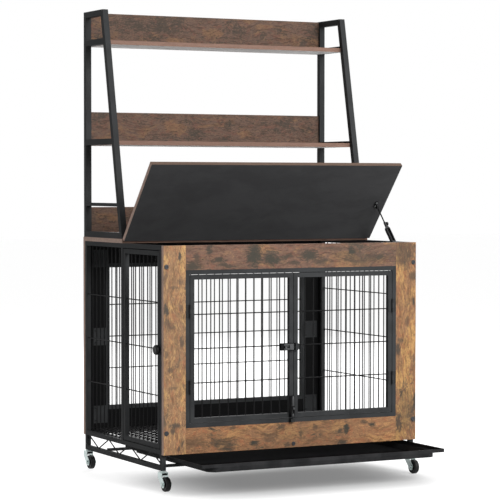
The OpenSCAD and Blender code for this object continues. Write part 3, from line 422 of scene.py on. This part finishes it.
give(steel, "left_side_frame", "right_side_frame", "front_door_frame", "back_mesh_frame", "tray_bars",
     "joining_plates", "hutch_side_frames", "left_front_door", "right_front_door", "side_door",
     "left_side_brace", "right_side_brace")
give(wire, "left_side_wires", "right_side_wires", "back_mesh_wires", "floor_grid",
     "left_front_door_wires", "right_front_door_wires", "side_door_wires")
give(fittings, "front_hinge_fixed_halves", "side_door_pins", "bolt_keeper", "latch_keeper",
     "side_shaft", "side_tongue", "stay_catch")
give(bright_fittings, "latch_bolt", "drop_bolt")
give(black, "screw_caps", "caster_caps", "side_knob", "stay_bracket", "stay_rod", "stay_thumbscrew")
give(handle, "stay_sleeve")
give(guide, "bolt_guides")
give(pan, "tray")
give(plated, "caster_stems", "lid_hinge_fixed_halves", "lid_hinge_moving_halves")
give(tyre, *(n for n in frame["nodes"] if n.startswith("caster_wheel")))
give(plated, *(n for n in frame["nodes"] if n.startswith("caster_fork")))


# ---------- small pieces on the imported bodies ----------

SMOOTH_BELOW = math.radians(35.0)


def piece(name, bm, mat, body):
    """Turn a bmesh into an object that rides on a body."""
    bmesh.ops.recalc_face_normals(bm, faces=bm.faces)
    me = bpy.data.meshes.new(name)
    bm.to_mesh(me)
    bm.free()
    me.materials.append(mat)
    me.shade_smooth()
    me.set_sharp_from_angle(angle=SMOOTH_BELOW)
    o = bpy.data.objects.new(name, me)
    bpy.context.scene.collection.objects.link(o)
    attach(o, body)


def turned(bm, profile, centre, outward, sides=20):
    """Add a turned form to bm. profile runs from the axis to the axis, as (radius, height)."""
    spin = UP.rotation_difference(outward).to_matrix()
    rings = []
    for r, h in profile:
        angles = [2 * math.pi * i / sides for i in range(sides if r > 0 else 1)]
        points = [Vector((r * math.cos(a), r * math.sin(a), h)) for a in angles]
        rings.append([bm.verts.new(centre + spin @ p) for p in points])
    for low, high in zip(rings, rings[1:]):
        for i in range(sides):
            j = (i + 1) % sides
            corners = [low[i % len(low)], low[j % len(low)], high[j % len(high)], high[i % len(high)]]
            face = list(dict.fromkeys(corners))
            if len(face) > 2:
                bm.faces.new(face)


def pan_head(bm, centre, outward, r):
    """A pan head with a round socket in it."""
    turned(bm, [(0, 0), (r, 0), (r, 0.12 * r), (0.86 * r, 0.38 * r), (0.58 * r, 0.52 * r),
                (0.40 * r, 0.52 * r), (0.36 * r, 0.2 * r), (0, 0.2 * r)], centre, outward)


def cover_cap(bm, centre, outward, r, h):
    """A pressed cover cap: a sunken middle inside a rounded rim."""
    turned(bm, [(0, 0), (r, 0), (r, 0.35 * h), (0.9 * r, 0.8 * h), (0.72 * r, h), (0.6 * r, 0.95 * h),
                (0.5 * r, 0.7 * h), (0, 0.7 * h)], centre, outward, sides=28)


def skin(bm, loops):
    """Close a row of equal loops of vertices, with a face at each end."""
    for low, high in zip(loops, loops[1:]):
        for i in range(len(low)):
            j = (i + 1) % len(low)
            bm.faces.new((low[i], low[j], high[j], high[i]))
    bm.faces.new(loops[0])
    bm.faces.new(loops[-1])


def rounded_plate(bm, x, z, y0, y1, w, h, r):
    """A plate in the plane of the doors with round corners and a chamfered front edge at y0."""
    steps = 5
    chamfer = 0.35 * (y1 - y0)

    def loop(y, inset):
        points = []
        for corner, (sx, sz) in enumerate(((1, 1), (-1, 1), (-1, -1), (1, -1))):
            for i in range(steps + 1):
                a = math.pi / 2 * (corner + i / steps)
                points.append(bm.verts.new((x + sx * (w / 2 - r) + (r - inset) * math.cos(a), y,
                                            z + sz * (h / 2 - r) + (r - inset) * math.sin(a))))
        return points

    skin(bm, [loop(y1, 0.0), loop(y0 + chamfer, 0.0), loop(y0, chamfer)])


def half_barrel(bm, x, y, z0, z1, r):
    """An upright half-round sleeve standing out from the face at y, drawn in at both ends."""
    stands_out = 0.75 * r
    taper = 1.5 * MM
    neck = 0.7
    steps = 12
    loops = []
    for z, k in ((z0, neck), (z0 + taper, 1.0), (z1 - taper, 1.0), (z1, neck)):
        angles = [math.pi * i / steps for i in range(steps + 1)]
        loops.append([bm.verts.new((x - k * r * math.cos(a), y - k * stands_out * math.sin(a), z))
                      for a in angles])
    skin(bm, loops)


def loose_boxes(node):
    """The (low, high) corners of each loose solid of a node, in a fixed order."""
    bm = bmesh.new()
    bm.from_mesh(frame["nodes"][node].data)
    bmesh.ops.remove_doubles(bm, verts=bm.verts, dist=0.001 * MM)
    left = set(bm.verts)
    found = []
    while left:
        todo = [left.pop()]
        part = []
        while todo:
            v = todo.pop()
            part.append(v.co.copy())
            for e in v.link_edges:
                o = e.other_vert(v)
                if o in left:
                    left.remove(o)
                    todo.append(o)
        found.append((Vector([min(c[i] for c in part) for i in range(3)]),
                      Vector([max(c[i] for c in part) for i in range(3)])))
    bm.free()
    return sorted(found, key=lambda box: tuple(round(c, 4) for c in box[0]))


middle_y = (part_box("front_left_stile")[0][1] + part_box("back_left_stile")[1][1]) / 2

# cover caps over the plugs in both board panels
CAP_LIP = 0.8 * MM  # how far a cover cap reaches past its plug
CAP_HEIGHT = 2.6 * MM
bm = bmesh.new()
for lo, hi in loose_boxes("screw_caps"):
    centre = (lo + hi) / 2
    out = FRONT if centre.y < middle_y else BACK
    centre.y = hi.y if out == FRONT else lo.y
    cover_cap(bm, centre, out, (hi.x - lo.x) / 2 + CAP_LIP, CAP_HEIGHT)
piece("cap_covers", bm, cap_grey, "crate")

# four screws in each joining plate behind the boards
PLATE_SCREW_X = 18 * MM
PLATE_SCREW_Z = 22 * MM
PLATE_SCREW_R = 3.6 * MM
bm = bmesh.new()
for lo, hi in loose_boxes("joining_plates"):
    centre = (lo + hi) / 2
    out = BACK if centre.y < middle_y else FRONT
    centre.y = hi.y if out == BACK else lo.y
    for sx in (-1, 1):
        for sz in (-1, 1):
            at = centre + Vector((sx * PLATE_SCREW_X, 0, sz * PLATE_SCREW_Z))
            pan_head(bm, at, out, PLATE_SCREW_R)
piece("joining_plate_screws", bm, fittings, "crate")

# the two screws of the stay bracket, seen from below the lid
BRACKET_SCREWS = (161 * MM, 176 * MM)  # from the hinge line, along the lid
BRACKET_FACE = 20.3 * MM  # from the hinge line, square to the lid
BRACKET_SCREW_X = 6 * MM  # from the bracket's left side
BRACKET_SCREW_R = 3.4 * MM
joints = frame["record"]["behaviour"]["joints"]
hinge = Vector(next(j for j in joints if j["name"] == "lid_hinge")["pos_m"])
bm = bmesh.new()
for along in BRACKET_SCREWS:
    arm = Vector((0, -along, -BRACKET_FACE))
    arm.rotate(Euler((-LID_OPEN, 0, 0)))
    at = Vector((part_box("stay_bracket")[0][0] + BRACKET_SCREW_X, hinge.y + arm.y, hinge.z + arm.z))
    pan_head(bm, at, -LID_TOP, BRACKET_SCREW_R)
piece("stay_bracket_screws", bm, dull_zinc, "top_lid")

# pressed front of the middle bolt's guide: a broad plate beyond the slot that the neck of the
# bolt's knob runs in, and a strip above and below the slot
SLOT = (2 * MM, 29 * MM)  # its two ends, from the bolt's left end
PLATE_SHORT = 1.5 * MM  # how far the plate stops before the bolt's right end
PLATE_H = 21 * MM
PLATE_CORNER = 2.5 * MM
STRIP_SHORT = 5 * MM  # how much shorter than the slot the strips are
STRIP_GAP = 0.5 * MM  # between the strips and the plate
STRIP_OFF = 7.5 * MM  # from mid slot to mid strip
STRIP_H = 6 * MM
STRIP_CORNER = 2 * MM
PRESSED_T = 1.2 * MM
guides_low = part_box("bolt_guides")[0]
bolt_low, bolt_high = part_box("latch_bolt")
face_y = guides_low[1]
slot_start = bolt_low[0] + SLOT[0]
slot_end = bolt_low[0] + SLOT[1]
bolt_z = (bolt_low[2] + bolt_high[2]) / 2
plate_w = bolt_high[0] - PLATE_SHORT - slot_end
strip_w = slot_end - slot_start - STRIP_SHORT
bm = bmesh.new()
rounded_plate(bm, slot_end + plate_w / 2, bolt_z, face_y - PRESSED_T, face_y, plate_w, PLATE_H, PLATE_CORNER)
for side in (-1, 1):
    rounded_plate(bm, slot_end - STRIP_GAP - strip_w / 2, bolt_z + side * STRIP_OFF,
                  face_y - PRESSED_T, face_y, strip_w, STRIP_H, STRIP_CORNER)
piece("middle_bolt_front", bm, bright_fittings, "left_leaf")

# half-round barrel that the drop bolt runs in, in two lengths with its knob between them
BARREL_R = 4.6 * MM
BARREL_SPANS = ((1 * MM, 12 * MM), (38 * MM, 73 * MM))  # above the foot of the guides
drop_low, drop_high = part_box("drop_bolt")
bm = bmesh.new()
for start, end in BARREL_SPANS:
    half_barrel(bm, (drop_low[0] + drop_high[0]) / 2, face_y, guides_low[2] + start,
                guides_low[2] + end, BARREL_R)
piece("drop_bolt_barrel", bm, bright_fittings, "left_leaf")


# ---------- floor, world, lights, camera ----------

SHADE_CENTRE = (0.05, -0.17)  # middle of the dimmer patch under the tray and crate, a painted shadow
SHADE_RADII = (0.43, 0.29)
SHADE_NEAR, SHADE_FAR = 0.25, 2.4  # squares of the share of those radii
FLOOR_GREY = 0.55
FLOOR_GLOW = (0.22, 0.84)  # in the middle of the patch, and outside it
FLOOR_HALF = 30.0
WHITE = (1, 1, 1, 1)


def studio_floor(name):
    """White floor that takes shadows. Its own glow, seen by the eye and in reflections alone, is
    dimmer in a patch under the crate, a painted shadow, and runs into the white background outside."""
    t = Tree(name)
    t.bsdf.inputs["Base Color"].default_value = (FLOOR_GREY, FLOOR_GREY, FLOOR_GREY, 1)
    t.bsdf.inputs["Roughness"].default_value = 0.9
    t.bsdf.inputs["Specular IOR Level"].default_value = 0.1
    (cx, cy), (rx, ry) = SHADE_CENTRE, SHADE_RADII
    share = t.scaled(t.obj, (1 / rx, 1 / ry, 0.0), (-cx / rx, -cy / ry, 0.0))
    rounded_box = t.length(t.vec("MULTIPLY", share, share))
    glow = t.ramp(rounded_box, SHADE_NEAR, SHADE_FAR, *FLOOR_GLOW)
    shine = t.node("Emission")
    shine.inputs["Color"].default_value = WHITE
    t.put(shine.inputs["Strength"], t.math("MULTIPLY", t.seen(), glow))
    both = t.node("AddShader")
    t.put(both.inputs[0], t.bsdf.outputs[0])
    t.put(both.inputs[1], shine.outputs[0])
    t.put(t.out.inputs[0], both.outputs[0])
    return t.mat


me = bpy.data.meshes.new("floor")
corners = [(x * FLOOR_HALF, y * FLOOR_HALF, 0) for x, y in ((-1, -1), (1, -1), (1, 1), (-1, 1))]
me.from_pydata(corners, [], [(0, 1, 2, 3)])
floor = bpy.data.objects.new("floor", me)
bpy.context.scene.collection.objects.link(floor)
me.materials.append(studio_floor("floor_white"))

WORLD_LIGHT = 0.2  # what lights the object
WORLD_SEEN = 1.0  # what the eye sees
world = bpy.data.worlds.new("studio")
bpy.context.scene.world = world
w = Nodes(world)
strengths = []
for strength in (WORLD_LIGHT, WORLD_SEEN):
    background = w.node("Background")
    background.inputs["Color"].default_value = WHITE
    background.inputs["Strength"].default_value = strength
    strengths.append(background.outputs[0])
either = w.node("MixShader")
w.put(either.inputs[0], w.seen())
w.put(either.inputs[1], strengths[0])
w.put(either.inputs[2], strengths[1])
w.put(w.node("OutputWorld").inputs[0], either.outputs[0])

LAMP_SIDE = 3.0


def lamp(name, place, target, power):
    """A square area light at place that points at target, in metres and watts."""
    light = bpy.data.lights.new(name, "AREA")
    light.shape = "RECTANGLE"
    light.size = LAMP_SIDE
    light.size_y = LAMP_SIDE
    light.energy = power
    o = bpy.data.objects.new(name, light)
    o.location = place
    o.rotation_euler = (Vector(target) - Vector(place)).to_track_quat("-Z", "Y").to_euler()
    bpy.context.scene.collection.objects.link(o)


lamp("key", (1.3, -5.0, 3.5), (0, 0, 0.7), power=280)
lamp("fill", (4.5, -3.0, 2.2), (0, 0, 0.7), power=75)
lamp("rear", (2.6, 4.8, 3.4), (0, 0.2, 0.7), power=190)

LENS = 150.64
CAMERA_PLACE = (-3.48465, -6.61921, 1.04104)
CAMERA_DOWN = 1.8065  # degrees below level
CAMERA_ROLL = -0.034  # degrees
CAMERA_TURN = -27.4216  # degrees from facing +Y
cam = bpy.data.cameras.new("camera")
cam.lens = LENS
cam.sensor_width = 36.0
cam.clip_end = 100
camera = bpy.data.objects.new("camera", cam)
camera.location = CAMERA_PLACE
camera.rotation_euler = [math.radians(d) for d in (90 - CAMERA_DOWN, CAMERA_ROLL, CAMERA_TURN)]
bpy.context.scene.collection.objects.link(camera)
bpy.context.scene.camera = camera
bpy.context.scene.view_settings.view_transform = "Standard"
